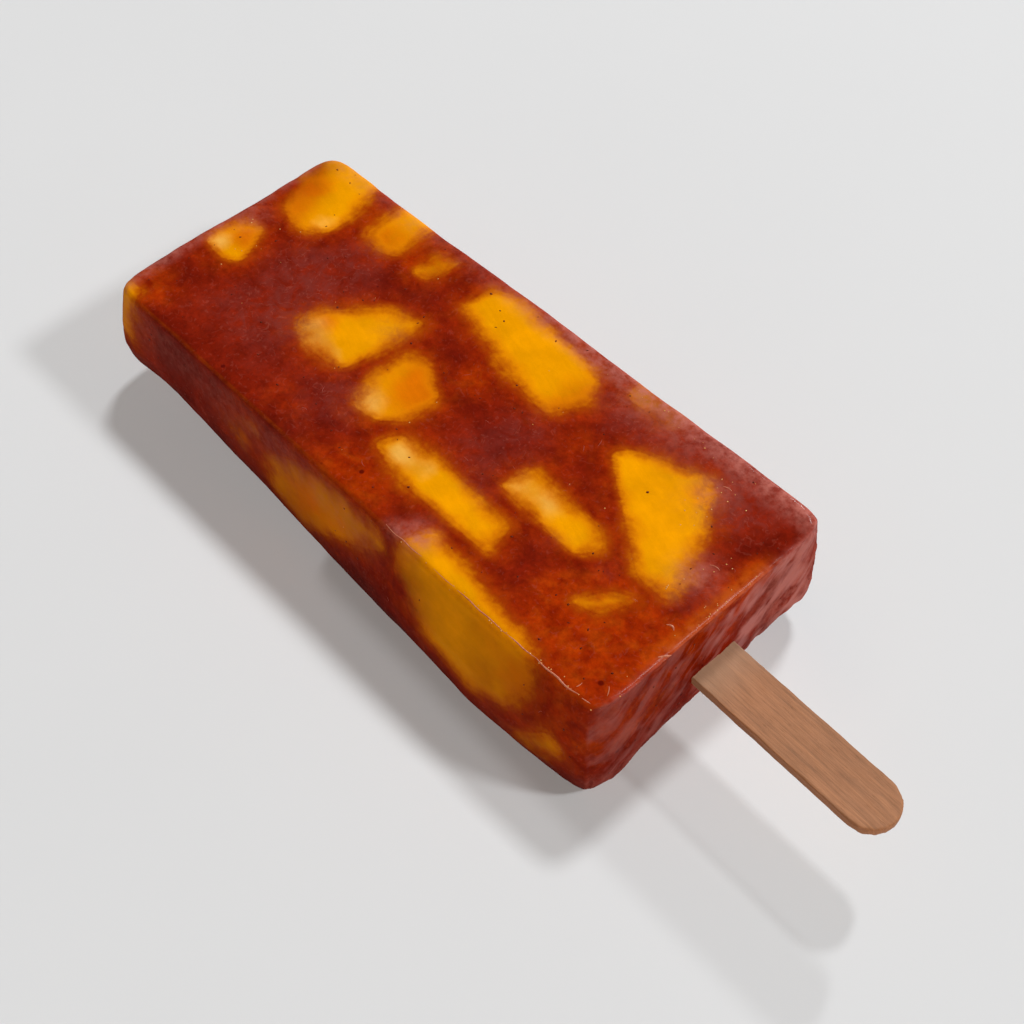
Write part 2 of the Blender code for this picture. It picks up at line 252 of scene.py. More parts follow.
def keep_outer_skin(thing):
    """Drop the closed bubbles that a remesh leaves inside a piece."""
    pick(thing)
    highest = int(corners(thing)[:, 2].argmax())
    bpy.ops.object.mode_set(mode="EDIT")
    bpy.ops.mesh.select_mode(type="VERT")
    bpy.ops.mesh.select_all(action="DESELECT")
    bpy.ops.object.mode_set(mode="OBJECT")
    thing.data.vertices[highest].select = True
    bpy.ops.object.mode_set(mode="EDIT")
    bpy.ops.mesh.select_linked(delimit=set())
    bpy.ops.mesh.select_all(action="INVERT")
    bpy.ops.mesh.delete(type="VERT")
    bpy.ops.object.mode_set(mode="OBJECT")


def corners(thing):
    """Vertex places as an array, in metres."""
    places = np.empty(len(thing.data.vertices) * 3)
    thing.data.vertices.foreach_get("co", places)
    return places.reshape(-1, 3)


def facings(thing):
    """Vertex normals as an array."""
    ways = np.empty(len(thing.data.vertices) * 3)
    thing.data.vertex_normals.foreach_get("vector", ways)
    return ways.reshape(-1, 3)


def store(thing, name, values):
    """Keep one number for each vertex, for a material to read."""
    kept = thing.data.attributes.get(name) or thing.data.attributes.new(name, "FLOAT", "POINT")
    kept.data.foreach_set("value", np.asarray(values, dtype=np.float32))


def ease(values, low, high):
    """0 at low, 1 at high and smooth between, where low may be the larger."""
    part = np.clip((values - low) / (high - low), 0.0, 1.0)
    return part * part * (3.0 - 2.0 * part)


def face_tree(things):
    """Search tree over the faces of some objects."""
    places = []
    faces = []
    for thing in things:
        start = len(places)
        places.extend(vertex.co.copy() for vertex in thing.data.vertices)
        faces.extend(tuple(start + index for index in face.vertices) for face in thing.data.polygons)
    return BVHTree.FromPolygons(places, faces)


def distances(tree, places):
    """Distance in millimetres from each place to the faces in a tree."""
    return np.array([tree.find_nearest(Vector(place))[3] / MM for place in places])


def finish_piece(piece, finish, slot, *nodes):
    """Give a finished piece its material, hang it on the root body, and hide the CAD nodes that it takes the
    place of.
    """
    piece.data.materials.clear()
    piece.data.materials.append(finish)
    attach(piece, "root")
    if nodes:
        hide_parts(*nodes)


# ---- settings


def colour_setting(name, description, code):
    """A colour that a user may change, by default the one of an sRGB hex code."""
    return bpy.props.FloatVectorProperty(
        name=name, description=description, default=linear(code), subtype="COLOR", size=3
    )


def length_setting(name, description, default, least):
    """A length that a user may change, its default and its least value given in millimetres."""
    return bpy.props.FloatProperty(
        name=name, description=description, default=default * MM, min=least * MM, unit="LENGTH"
    )


class LollyIceSettings(bpy.types.PropertyGroup):
    """Sizes and colours of the frozen berry puree."""

    voxel: length_setting("Skin Detail", "Size of the faces that the block's skin is made of", 0.5, 0.3)
    melt: bpy.props.FloatProperty(
        name="Melt",
        description="Depth of the slow hollows that melting leaves, as a part of the usual one",
        default=1.0, min=0.0, max=2.0, subtype="FACTOR",
    )
    deep: colour_setting("Deep Puree", "Darkest wine red of the puree", "#641307")
    berry: colour_setting("Berry Puree", "Main red of the puree", "#801D07")
    warm: colour_setting("Warm Puree", "Orange red of juice-rich puree", "#9A2E02")
    # Mauve of the frost, which also paints the sheen of the wet surface.
    haze: colour_setting("Frost Haze", "Mauve of the frost under the skin", "#742F28")


class LollyFruitSettings(bpy.types.PropertyGroup):
    """Sizes and colours of the mango pieces."""

    rim: length_setting("Rim", "How far a piece's cut edge runs on under the skin", 0.6, 0.1)
    lift: length_setting("Lift", "How far a piece stands above the ice beside it", 0.015, 0.005)
    flesh: colour_setting("Flesh", "Ripe yellow of the cut fruit", "#DF9001")
    amber: colour_setting("Amber Flesh", "Orange of the riper side and of the cut edges", "#C96603")
    cream: colour_setting("Frosted Flesh", "Pale cream where frost lies on the fruit", "#E0A347")


class LollyStickSettings(bpy.types.PropertyGroup):
    """Sizes and colours of the wooden stick."""

    voxel: length_setting("Skin Detail", "Size of the faces that the stick is made of", 0.35, 0.2)
    wood: colour_setting("Birch", "Main colour of the wood", "#93623F")


class LollyFrostSettings(bpy.types.PropertyGroup):
    """How the specks and the loose frost fall."""

    seed: bpy.props.IntProperty(
        name="Seed", description="Start of the random draws that place them", default=11, min=0
    )


# ---- materials


# Node settings that come back: a range with soft ends, a product, and a mix of colours.
SMOOTH = {"interpolation_type": "SMOOTHSTEP"}
TIMES = {"operation": "MULTIPLY"}
COLOURS = {"data_type": "RGBA"}


def wire(tree, made, sockets):
    """Link a node's sockets to other nodes' outputs, and set the ones that are given a value. A name stands
    for the numbers that the mesh keeps under it."""
    for name, value in sockets.items():
        if isinstance(value, str):
            kept = tree.nodes.new("ShaderNodeAttribute")
            kept.attribute_name = value
            value = kept.outputs["Fac"]
        if isinstance(value, bpy.types.NodeSocket):
            tree.links.new(value, made.inputs[name])
        else:
            made.inputs[name].default_value = value


def add_node(tree, kind, sockets=None, **settings):
    """Add a node, give it its settings, wire its sockets, and return its outputs."""
    made = tree.nodes.new("ShaderNode" + kind)
    for name, value in settings.items():
        setattr(made, name, value)
    wire(tree, made, sockets or {})
    return made.outputs


def per(size):
    """Scale that makes a pattern's features this many millimetres across."""
    return 1.0 / (size * MM)


def new_material(name):
    """A principled material, what adds nodes to it, and the object's own measure."""
    made = bpy.data.materials.new(name)
    made.use_nodes = True
    node = partial(add_node, made.node_tree)
    return made, node, node("TexCoord")["Object"]


def finish_material(made, sockets):
    """Wire the shader of a material, the last step of making it."""
    wire(made.node_tree, made.node_tree.nodes["Principled BSDF"], sockets)
    return made


def broken_patch(node, name, blotches, low, high):
    """A stored patch, with its outline broken up by blotches."""
    shift = node("Math", {0: blotches, 1: 0.9, 2: -0.45}, operation="MULTIPLY_ADD")[0]
    rough = node("Math", {0: name, 1: shift}, operation="ADD")[0]
    return node("MapRange", {0: rough, 1: low, 2: high}, **SMOOTH)[0]


def berry_colour(node, place, settings):
    """Frozen puree: clots of pulp and clear juice, warm patches, and dark spots over seeds."""
    # Clots of pulp make the block cloudy. Soft shreds and fine grain keep it from looking painted.
    look = {"Detail": 4, "Roughness": 0.55, "Distortion": 0.5}
    clots = node("TexNoise", {0: place, "Scale": per(9), **look})["Fac"]
    soft = {"Detail": 3, "Roughness": 0.5, "Distortion": 0.25}
    shreds = node("TexNoise", {0: place, "Scale": per(2.6), **soft})["Fac"]
    grain = node("TexNoise", {0: place, "Scale": per(0.7), "Detail": 3, "Roughness": 0.6})["Fac"]
    clotted = node("MapRange", {0: clots, 1: 0.36, 2: 0.66})[0]
    colour = node("Mix", {0: clotted, 6: (*settings.deep, 1), 7: (*settings.berry, 1)}, **COLOURS)[2]
    # Warm, juice-rich puree with brighter veins in it, most of all where it lies against fruit.
    glow = node("MapRange", {0: "fruit_edge", 1: 5.5, 2: 0.5, 4: 0.6}, **SMOOTH)[0]
    juicy = broken_patch(node, "warm", clots, 0.15, 0.8)
    juicy = node("Math", {0: juicy, 1: glow}, operation="MAXIMUM")[0]
    veins = node("MapRange", {0: shreds, 1: 0.25, 2: 0.75, 3: 0.15, 4: 0.95})[0]
    warm = node("Mix", {0: veins, 6: ink("#7C1503"), 7: (*settings.warm, 1)}, **COLOURS)[2]
    colour = node("Mix", {0: juicy, 6: colour, 7: warm}, **COLOURS)[2]
    # Orange flecks of pulp in the warm part.
    pulp = node("TexNoise", {0: place, "Scale": per(3.4), **look})["Fac"]
    pulp = node("MapRange", {0: pulp, 1: 0.46, 2: 0.7, 4: 0.28})[0]
    pulp = node("Math", {0: pulp, 1: juicy}, **TIMES)[0]
    colour = node("Mix", {0: pulp, 6: colour, 7: ink("#B4500C")}, **COLOURS)[2]
    # Shreds and grain lighten and darken it all over.
    light = node("MapRange", {0: shreds, 1: 0.3, 2: 0.72, 3: 0.84, 4: 1.14})[0]
    fine = node("MapRange", {0: grain, 1: 0.3, 2: 0.7, 3: 0.84, 4: 1.16})[0]
    both = node("Math", {0: light, 1: fine}, **TIMES)[0]
    colour = node("VectorMath", {0: colour, 3: both}, operation="SCALE")[0]
    # Round dark spots where a berry seed lies under the skin.
    seeds = node("TexVoronoi", {0: place, "Scale": per(5.5)})
    size = node("SeparateColor", {0: seeds["Color"]})[0]
    reach = node("MapRange", {0: size, 1: 0.3, 2: 1, 3: 0, 4: 0.11})[0]
    inside = node("Math", {0: reach, 1: seeds["Distance"]}, operation="SUBTRACT")[0]
    spot = node("MapRange", {0: inside, 1: 0, 2: 0.04, 4: 0.8})[0]
    colour = node("Mix", {0: spot, 6: colour, 7: ink("#4A0503")}, **COLOURS)[2]
    return colour, clots, shreds, grain


def frost_and_sheen_over(node, place, colour, settings, clots):
    """Mauve frost under the skin, its mauve partly a painted sheen, over puree and fruit alike, thicker and
    thinner every 3 mm.
    """
    frost_and_sheen = broken_patch(node, "haze", clots, 0.05, 1)
    torn = {"Detail": 6, "Roughness": 0.72, "Distortion": 0.8}
    mist = node("TexNoise", {0: place, "Scale": per(3), **torn})["Fac"]
    misted = node("MapRange", {0: mist, 1: 0.4, 2: 0.62, 3: 0.1, 4: 0.7})[0]
    part = node("Math", {0: frost_and_sheen, 1: misted}, **TIMES)[0]
    return node("Mix", {0: part, 6: colour, 7: (*settings.haze, 1)}, **COLOURS)[2], frost_and_sheen


def frost_threads(node, place, size, width):
    """Short curved hairs of frost: level lines of a slow noise, cut to lengths by a quicker one."""
    wander = node("TexNoise", {0: place, "Scale": per(size), "Detail": 1.5, "Distortion": 0.6})["Fac"]
    off = node("Math", {0: wander, 1: 0.5}, operation="SUBTRACT")[0]
    off = node("Math", {0: off}, operation="ABSOLUTE")[0]
    line = node("MapRange", {0: off, 1: width, 2: 0})[0]
    quick = {0: place, "Scale": per(size * 0.35), "Detail": 0, "W": 3}
    cuts = node("TexNoise", quick, noise_dimensions="4D")["Fac"]
    length = node("MapRange", {0: cuts, 1: 0.5, 2: 0.56})[0]
    return node("Math", {0: line, 1: length}, **TIMES)[0]


def rime_colour(node, place, colour):
    """What the mould's edges carry: orange juice frozen along the creases, pink rime on the rims, and
    slanting streaks of frost on the stick end."""
    crumbs = node("TexNoise", {0: place, "Scale": per(1.6), "Detail": 4, "Roughness": 0.6})["Fac"]
    drift = node("TexNoise", {0: place, "Scale": per(6), "Detail": 2})["Fac"]
    # Streaks 2 mm by 10 mm that run slantwise down the stick end.
    slant = {"Vector": place, "Rotation": (FLAKE_SLANT, 0, 0), "Scale": (2, 5, 1)}
    turned = node("Mapping", slant, vector_type="TEXTURE")[0]
    streaks = node("TexNoise", {0: turned, "Scale": per(2), "Detail": 3, "Roughness": 0.5})["Fac"]
    mixed = node("Math", {0: streaks, 1: drift}, operation="ADD")[0]
    streaked = node("MapRange", {0: mixed, 1: 0.9, 2: 1.18, 4: 0.85})[0]
    part = node("Math", {0: "stick_end", 1: streaked}, **TIMES)[0]
    colour = node("Mix", {0: part, 6: colour, 7: ink("#AC6C66")}, **COLOURS)[2]
    kept = node("MapRange", {0: crumbs, 1: 0.34, 2: 0.6, 3: 0.3, 4: 1})[0]
    part = node("Math", {0: "crease", 1: kept}, **TIMES)[0]
    colour = node("Mix", {0: part, 6: colour, 7: ink("#A8450A")}, **COLOURS)[2]
    crumbled = node("MapRange", {0: crumbs, 1: 0.36, 2: 0.64, 3: 0.15, 4: 0.85})[0]
    part = node("Math", {0: "rime", 1: crumbled}, **TIMES)[0]
    return node("Mix", {0: part, 6: colour, 7: ink("#AE6458")}, **COLOURS)[2]


def flesh_colour(node, place, settings):
    """Mango flesh: soft blotches, riper and frosted patches, and faint fibres."""
    blotches = node("TexNoise", {0: place, "Scale": per(6), "Detail": 3, "Roughness": 0.55})["Fac"]
    # Fibres 0.8 mm apart and 5 mm long.
    drawn = {"Vector": place, "Rotation": (0, 0, math.radians(-18)), "Scale": (6, 1, 1)}
    drawn = node("Mapping", drawn, vector_type="TEXTURE")[0]
    fibres = node("TexNoise", {0: drawn, "Scale": per(0.8), "Detail": 3, "Distortion": 0.6})["Fac"]
    amber = broken_patch(node, "amber", blotches, 0.1, 1)
    cream = broken_patch(node, "cream", blotches, 0.15, 0.95)
    colour = node("Mix", {0: amber, 6: (*settings.flesh, 1), 7: (*settings.amber, 1)}, **COLOURS)[2]
    colour = node("Mix", {0: cream, 6: colour, 7: (*settings.cream, 1)}, **COLOURS)[2]
    light = node("MapRange", {0: blotches, 1: 0.3, 2: 0.7, 3: 0.86, 4: 1.08})[0]
    fine = node("MapRange", {0: fibres, 1: 0.3, 2: 0.7, 3: 0.965, 4: 1.035})[0]
    both = node("Math", {0: light, 1: fine}, **TIMES)[0]
    return node("VectorMath", {0: colour, 3: both}, operation="SCALE")[0]


def set_in_puree(node, place, flesh, berry):
    """Fruit frozen into the puree: its cut edge fades through amber and orange, over three millimetres
    in some places and over six in others."""
    slow = node("TexNoise", {0: place, "Scale": per(9), "Detail": 1})["Fac"]
    wobble = node("TexNoise", {0: place, "Scale": per(4.2), "Detail": 2, "Roughness": 0.4})["Fac"]
    width = node("MapRange", {0: slow, 1: 0.36, 2: 0.62, 3: 1.1, 4: 2.5}, **SMOOTH)[0]
    wisps = node("TexNoise", {0: place, "Scale": per(1.1), "Detail": 3, "Roughness": 0.6})["Fac"]
    off = node("Math", {0: wobble, 1: 1, 2: -0.82}, operation="MULTIPLY_ADD")[0]
    off = node("Math", {0: wisps, 1: 0.7, 2: off}, operation="MULTIPLY_ADD")[0]
    depth = node("Math", {0: "fruit_edge", 1: width}, operation="DIVIDE")[0]
    depth = node("Math", {0: depth, 1: off}, operation="ADD")[0]
    rim = node("MapRange", {0: depth, 1: -1.5, 2: -0.1, 4: 0.8}, **SMOOTH)[0]
    halo = node("MapRange", {0: depth, 1: -0.75, 2: 0.5}, **SMOOTH)[0]
    gone = node("MapRange", {0: depth, 1: -0.1, 2: 1.1}, **SMOOTH)[0]
    colour = node("Mix", {0: rim, 6: flesh, 7: ink("#CE7404")}, **COLOURS)[2]
    colour = node("Mix", {0: halo, 6: colour, 7: ink("#963804")}, **COLOURS)[2]
    colour = node("Mix", {0: gone, 6: colour, 7: berry}, **COLOURS)[2]
    thick = node("MapRange", {0: wobble, 1: 0.3, 2: 0.7, 3: 0.75, 4: 1.2})[0]
    covered = node("Math", {0: "veil", 1: thick}, **TIMES, use_clamp=True)[0]
    return node("Mix", {0: covered, 6: colour, 7: berry}, **COLOURS)[2]


def frozen_material(name, ice, fruit):
    """Berry puree and mango, frozen together under a thin film of meltwater."""
    made, node, place = new_material(name)
    berry, clots, shreds, grain = berry_colour(node, place, ice)
    threads = frost_threads(node, place, size=2.0, width=0.03)
    flesh = flesh_colour(node, place, fruit)
    colour = set_in_puree(node, place, flesh, berry)
    colour, frost_and_sheen = frost_and_sheen_over(node, place, colour, ice, clots)
    colour = rime_colour(node, place, colour)
    # Towards the table the walls darken: thick, dark ice and painted shade.
    painted_low_shade = {0: "dusk", 6: colour, 7: ink("#8A5A50")}
    colour = node("Mix", painted_low_shade, **COLOURS, blend_type="MULTIPLY")[2]
    # Hairs of frost, most where the mauve frost with its painted sheen lies, none on fruit.
    on_ice = node("MapRange", {0: "fruit_edge", 1: 0.3, 2: 1.5, 4: 0.3})[0]
    hair = node("Math", {0: threads, 1: on_ice}, **TIMES)[0]
    iced = node("MapRange", {0: frost_and_sheen, 3: 0.45, 4: 0.75})[0]
    hair = node("Math", {0: hair, 1: iced}, **TIMES)[0]
    colour = node("Mix", {0: hair, 6: colour, 7: ink("#A35546")}, **COLOURS)[2]
    # Fine dents and grain of a surface that has begun to melt.
    melt = node("TexNoise", {0: place, "Scale": per(2.2), "Detail": 3, "Roughness": 0.5})["Fac"]
    rise = node("Math", {0: melt, 1: 0.12}, **TIMES)[0]
    rise = node("Math", {0: grain, 1: 0.02, 2: rise}, operation="MULTIPLY_ADD")[0]
    rise = node("Math", {0: hair, 1: 0.05, 2: rise}, operation="MULTIPLY_ADD")[0]
    bump = node("Bump", {"Height": rise, "Distance": MM, "Strength": 1})["Normal"]
    # Frosted ice is dull, wet ice is not. The gloss is that of a thin, broken film of meltwater.
    rough = node("MapRange", {0: shreds, 1: 0.3, 2: 0.7, 3: 0.18, 4: 0.26})[0]
    rough = node("Math", {0: frost_and_sheen, 1: 0.1, 2: rough}, operation="MULTIPLY_ADD")[0]
    body = {"Base Color": colour, "Roughness": rough, "Normal": bump, "IOR": 1.31, "Specular IOR Level": 0}
    film = {"Coat Weight": 0.06, "Coat Roughness": 0.12, "Coat IOR": 1.33}
    return finish_material(made, {**body, **film})


def birch_material(settings):
    """Sanded birch: fine lengthwise grain with short dark vessels, and no lacquer."""
    made, node, place = new_material("sanded birch")
    lengthwise = {"Vector": place, "Rotation": (0, 0, STICK_TURN), "Scale": (22, 1, 1)}
    along = node("Mapping", lengthwise, vector_type="TEXTURE")[0]
    grain = node("TexNoise", {0: along, "Scale": per(0.34), "Detail": 5, "Roughness": 0.75})["Fac"]
    bands = node("TexNoise", {0: along, "Scale": per(3), "Detail": 2})["Fac"]
    lengthwise["Scale"] = (6, 1, 1)
    short = node("Mapping", lengthwise, vector_type="TEXTURE")[0]
    vessels = node("TexNoise", {0: short, "Scale": per(0.42), "Detail": 2, "Roughness": 0.5})["Fac"]
    patches = node("TexNoise", {0: place, "Scale": per(9), "Detail": 2})["Fac"]
    light = node("MapRange", {0: grain, 1: 0.32, 2: 0.68, 3: 0.7, 4: 1.26})[0]
    slow = node("MapRange", {0: bands, 1: 0.3, 2: 0.7, 3: 0.9, 4: 1.1})[0]
    both = node("Math", {0: light, 1: slow}, **TIMES)[0]
    colour = node("Mix", {0: patches, 6: (*settings.wood, 1), 7: ink("#9C6A48")}, **COLOURS)[2]
    colour = node("VectorMath", {0: colour, 3: both}, operation="SCALE")[0]
    fleck = node("MapRange", {0: vessels, 1: 0.66, 2: 0.72, 4: 0.35})[0]
    colour = node("Mix", {0: fleck, 6: colour, 7: ink("#6B4226")}, **COLOURS)[2]
    # Damp and frosted, so greyer, where it leaves the ice.
    colour = node("Mix", {0: "damp", 6: colour, 7: ink("#957459")}, **COLOURS)[2]
    rise = node("Math", {0: grain, 1: 0.06}, **TIMES)[0]
    rise = node("Math", {0: fleck, 1: -0.04, 2: rise}, operation="MULTIPLY_ADD")[0]
    bump = node("Bump", {"Height": rise, "Distance": MM, "Strength": 1})["Normal"]
    sockets = {"Base Color": colour, "Roughness": 0.62, "Normal": bump, "IOR": 1.45}
    return finish_material(made, {**sockets, "Specular IOR Level": 0.25})


def speckled_material(name, dark, light, roughness):
    """A small hard thing with a little change of colour over it."""
    made, node, place = new_material(name)
    change = node("TexNoise", {0: place, "Scale": per(0.5), "Detail": 2})["Fac"]
    colour = node("Mix", {0: change, 6: ink(dark), 7: ink(light)}, **COLOURS)[2]
    sockets = {"Base Color": colour, "Roughness": roughness, "IOR": 1.31, "Specular IOR Level": 0.25}
    return finish_material(made, sockets)


def table_material():
    """Pale satin table top, with a faint unevenness in its gloss."""
    made, node, place = new_material("pale satin table top")
    smears = node("TexNoise", {0: place, "Scale": per(60), "Detail": 3})["Fac"]
    whites = {0: smears, 6: (0.600, 0.600, 0.598, 1), 7: (0.616, 0.616, 0.614, 1)}
    colour = node("Mix", whites, **COLOURS)[2]
    rough = node("MapRange", {0: smears, 3: 0.6, 4: 0.66})[0]
    sockets = {"Base Color": colour, "Roughness": rough, "IOR": 1.4, "Specular IOR Level": 0.1}
    return finish_material(made, sockets)


# ---- ice and fruit


def patch_values(places, patches):
    """How strongly a set of soft patches covers each place, from 0 to 1."""
    left = np.ones(len(places))
    for x, y, z, reach, strength in patches:
        away = np.linalg.norm(places - np.array((x, y, z)), axis=1)
        left *= 1.0 - strength * np.exp(-((away / reach) ** 2))
    return 1.0 - left


def upright(ways):
    """1 where a skin stands as a wall does, and 0 where it lies level."""
    return ease(np.abs(ways[:, 2]), 0.8, 0.3)


def at_stick_end(ways, x):
    """1 on the face that the stick leaves by, and 0 elsewhere."""
    return ease(ways[:, 0], 0.3, 0.8) * ease(x, BLOCK_LENGTH - 8, BLOCK_LENGTH - 3)


def fruit_edge(thing):
    """How far each vertex lies from the cut edge of the nearest fruit in millimetres, negative on the fruit.
    On the walls the distance counts for less, which makes the edge softer there."""
    fruit = face_tree([frame["nodes"][name] for name in FRUIT])
    ice = face_tree([frame["nodes"][ICE]])
    places = corners(thing)
    return (distances(fruit, places) - distances(ice, places)) / (1.0 + 0.5 * upright(facings(thing)))


def paint_zones(thing, edge):
    """Keep on a skin's vertices what its material reads: how far the fruit's cut edge is, and where the
    patches, the rime, the juice along the creases, the stick end, and the dark ice and painted shade low on
    the walls lie."""
    places = corners(thing) / MM - np.array(BLOCK_ORIGIN)
    ways = facings(thing)
    x, y, z = places.T
    store(thing, "fruit_edge", edge)
    for name, patches in PATCHES.items():
        store(thing, name, patch_values(places, patches))
    stick_end = ease(ways[:, 0], 0.35, 0.8) * ease(x, BLOCK_LENGTH - 8, BLOCK_LENGTH - 3)
    stick_end *= 0.5 + 0.5 * ease(y, -16, 4)
    # Rime on the rims, on the low corner of the stick end and just under the near crease.
    above = ease(ways[:, 2], 0.1, 0.6)
    far_edge = ease(y, 19.5, 25) * above * (0.3 + 0.7 * ease(x, 40, 75))
    tip_edge = ease(x, 3, 0) * above * 0.7
    end_edge = ease(x, BLOCK_LENGTH - 3, BLOCK_LENGTH - 0.5) * above * 0.5
    low_corner = ease(x, BLOCK_LENGTH - 8, BLOCK_LENGTH) * ease(z, 12, 2) * 0.7
    far_end = ease(x, BLOCK_LENGTH - 3, BLOCK_LENGTH) * ease(y, 2, 18) * 0.8
    under_crease = ease(-ways[:, 1], 0.5, 0.9) * ease(z, 14, 20) * ease(z, 25.5, 23)
    under_crease = under_crease * ease(x, 74, 66) * 0.22
    spots = patch_values(places, RIME_PATCHES)
    rimes = (far_edge, tip_edge, end_edge, low_corner, far_end, under_crease, spots)
    store(thing, "rime", np.maximum.reduce(rimes))
    # Juice frozen in a thin line along the near crease, and in a band before the end crease.
    leaning = ease(ways[:, 2], 0.35, 0.6) * ease(ways[:, 2], 0.97, 0.85)
    near_crease = leaning * ease(-ways[:, 1], 0.2, 0.5) * ease(y, -21, -23) * 0.35
    end_band = ease(x, 116.4, 118.4) * ease(x, 120.8, 119.4) * ease(y, 16, 8)
    end_band = end_band * ease(y, -16, -8) * above
    store(thing, "crease", np.maximum(near_crease, end_band))
    store(thing, "stick_end", stick_end)
    # Thick, dark ice and painted shade: darker low on the walls, a little darker over the whole long walls,
    # and darker on the near half of the stick end.
    above_top = z - (TIP_HEIGHT + (BLOCK_HEIGHT - TIP_HEIGHT) * x / BLOCK_LENGTH)
    long_wall = ease(np.abs(ways[:, 1]), 0.3, 0.8) * ease(above_top, -1.3, -2.7)
    long_wall *= 0.18 + 0.62 * ease(z, 15, 2)
    near_half = at_stick_end(ways, x) * (0.4 * ease(y, 8, -8))
    low = upright(ways) * ease(z, 8, 0) * 0.6
    store(thing, "dusk", np.maximum.reduce((long_wall, near_half, low)))


def dent(thing, name, size, depth, strength):
    """Displace modifier that dents a skin with a soft random texture. It only ever moves inwards."""
    cloud = bpy.data.textures.new(name, "CLOUDS")
    cloud.noise_scale = size * MM
    cloud.noise_depth = depth
    cloud.noise_basis = "ORIGINAL_PERLIN"
    made = thing.modifiers.new(name, "DISPLACE")
    made.texture = cloud
    made.texture_coords = "LOCAL"
    made.mid_level = 1.0
    made.strength = strength * MM
    return made


def roughen(thing, melt):
    """Dent a skin the way melting and handling do, except where it rests."""
    places = corners(thing) / MM - np.array(BLOCK_ORIGIN)
    ways = facings(thing)
    free = thing.vertex_groups.new(name="free")
    ends = thing.vertex_groups.new(name="stick end")
    clear = 0.1 + 0.9 * ease(places[:, 2], 0.2, 2.5)
    chiselled = at_stick_end(ways, places[:, 0])
    for index in range(len(places)):
        free.add([index], float(clear[index]), "REPLACE")
        if chiselled[index] > 0.01:
            ends.add([index], float(chiselled[index] * clear[index]), "REPLACE")
    # The stick end broke away from the mould in slanting flakes.
    slant = bpy.data.objects.new("slant of the flakes", None)
    slant.rotation_euler = (FLAKE_SLANT, 0, 0)
    slant.scale = (1, 2.6, 0.8)
    bpy.context.scene.collection.objects.link(slant)
    bpy.context.view_layer.update()
    dent(thing, "slow melt", 17.0, 1, 0.55 * melt).vertex_group = "free"
    dent(thing, "melt dents", 5.0, 1, 0.22).vertex_group = "free"
    dent(thing, "fine dents", 1.7, 2, 0.05).vertex_group = "free"
    flakes = dent(thing, "flakes", 3.2, 2, 0.9)
    flakes.texture.noise_type = "HARD_NOISE"
    flakes.texture_coords = "OBJECT"
    flakes.texture_coords_object = slant
    flakes.vertex_group = "stick end"
    apply_modifiers(thing)
    thing.vertex_groups.clear()
    bpy.data.objects.remove(slant, do_unlink=True)
    for vertex in thing.data.vertices:
        vertex.co.z = max(vertex.co.z, 0.0)


class LOLLY_OT_ice(bpy.types.Operator):
    """Build the block of frozen berry puree as one closed skin."""

    bl_idname = "lolly.ice"
    bl_label = "Ice Block"

    def execute(self, context):
        settings = context.scene.lolly_ice
        block = copy_of(ICE, "ice_block")
        filling = [copy_of(name, f"filling_{name}") for name in FRUIT]
        core = copy_of(STICK, "filling_stick")
        # The stick's copy fills its slot up to just under the stick end's face.
        cut = (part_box(ICE)[1].x - CORE_SET_BACK, 0, 0)
        with editing(core):
            bpy.ops.mesh.bisect(plane_co=cut, plane_no=(1, 0, 0), use_fill=True, clear_outer=True)
        for thing in (block, core, *filling):
            fatten(thing, WELD_OUT)
        pick(block, core, *filling)
        bpy.ops.object.join()
        remesh(block, settings.voxel)
        keep_outer_skin(block)
        fatten(block, -WELD_BACK)
        settle(block, 6)
        roughen(block, settings.melt)
        paint_zones(block, fruit_edge(block))
        name = "frozen berry puree, poured and part melted"
        finish = frozen_material(name, settings, context.scene.lolly_fruit)
        finish_piece(block, finish, "berry_ice", ICE)
        return {"FINISHED"}


class LOLLY_OT_fruit(bpy.types.Operator):
    """Build the mango pieces, flush with the block's skin."""

    bl_idname = "lolly.fruit"
    bl_label = "Mango Pieces"

    def execute(self, context):
        settings = context.scene.lolly_fruit
        block = bpy.data.objects["ice_block"]
        finish = frozen_material("cut mango, frozen in", context.scene.lolly_ice, settings)
        for name in FRUIT:
            # The block's own skin, a hair further out, closed off by the walls of the CAD chunk.
            chunk = copy_of(name, "chunk")
            fatten(chunk, settings.rim)
            piece = new_object(name.replace("mango", "fruit"), block.data.copy())
            fatten(piece, settings.lift)
            cut = piece.modifiers.new("cut", "BOOLEAN")
            cut.operation = "INTERSECT"
            cut.solver = "MANIFOLD"
            cut.object = chunk
            apply_modifiers(piece)
            bpy.data.objects.remove(chunk, do_unlink=True)
            if not piece.data.polygons:
                raise RuntimeError(f"{name} came out empty")
            paint_zones(piece, fruit_edge(piece))
            pick(piece)
            bpy.ops.object.shade_smooth_by_angle(angle=math.radians(40.0))
            finish_piece(piece, finish, "mango", name)
        return {"FINISHED"}


class LOLLY_OT_stick(bpy.types.Operator):
    """Build the wooden stick."""

    bl_idname = "lolly.stick"
    bl_label = "Stick"

    def execute(self, context):
        settings = context.scene.lolly_stick
        piece = copy_of(STICK, "lolly_stick")
        remesh(piece, settings.voxel)
        settle(piece, 2)
        # Edges that the cutter left a little uneven.
        dent(piece, "uneven edge", 2.4, 2, 0.18)
        apply_modifiers(piece)
        x = corners(piece)[:, 0] / MM - BLOCK_ORIGIN.x
        store(piece, "damp", 0.75 * ease(x, BLOCK_LENGTH + 9, BLOCK_LENGTH - 1))
        finish_piece(piece, birch_material(settings), "birch_wood", STICK)
        return {"FINISHED"}


# ---- specks and frost


def joined(name, things):
    """One smooth piece at the origin, made of all these objects."""
    piece = new_object(name, bpy.data.meshes.new(name))
    pick(piece, *things)
    bpy.ops.object.join()
    bpy.ops.object.shade_smooth()
    return piece


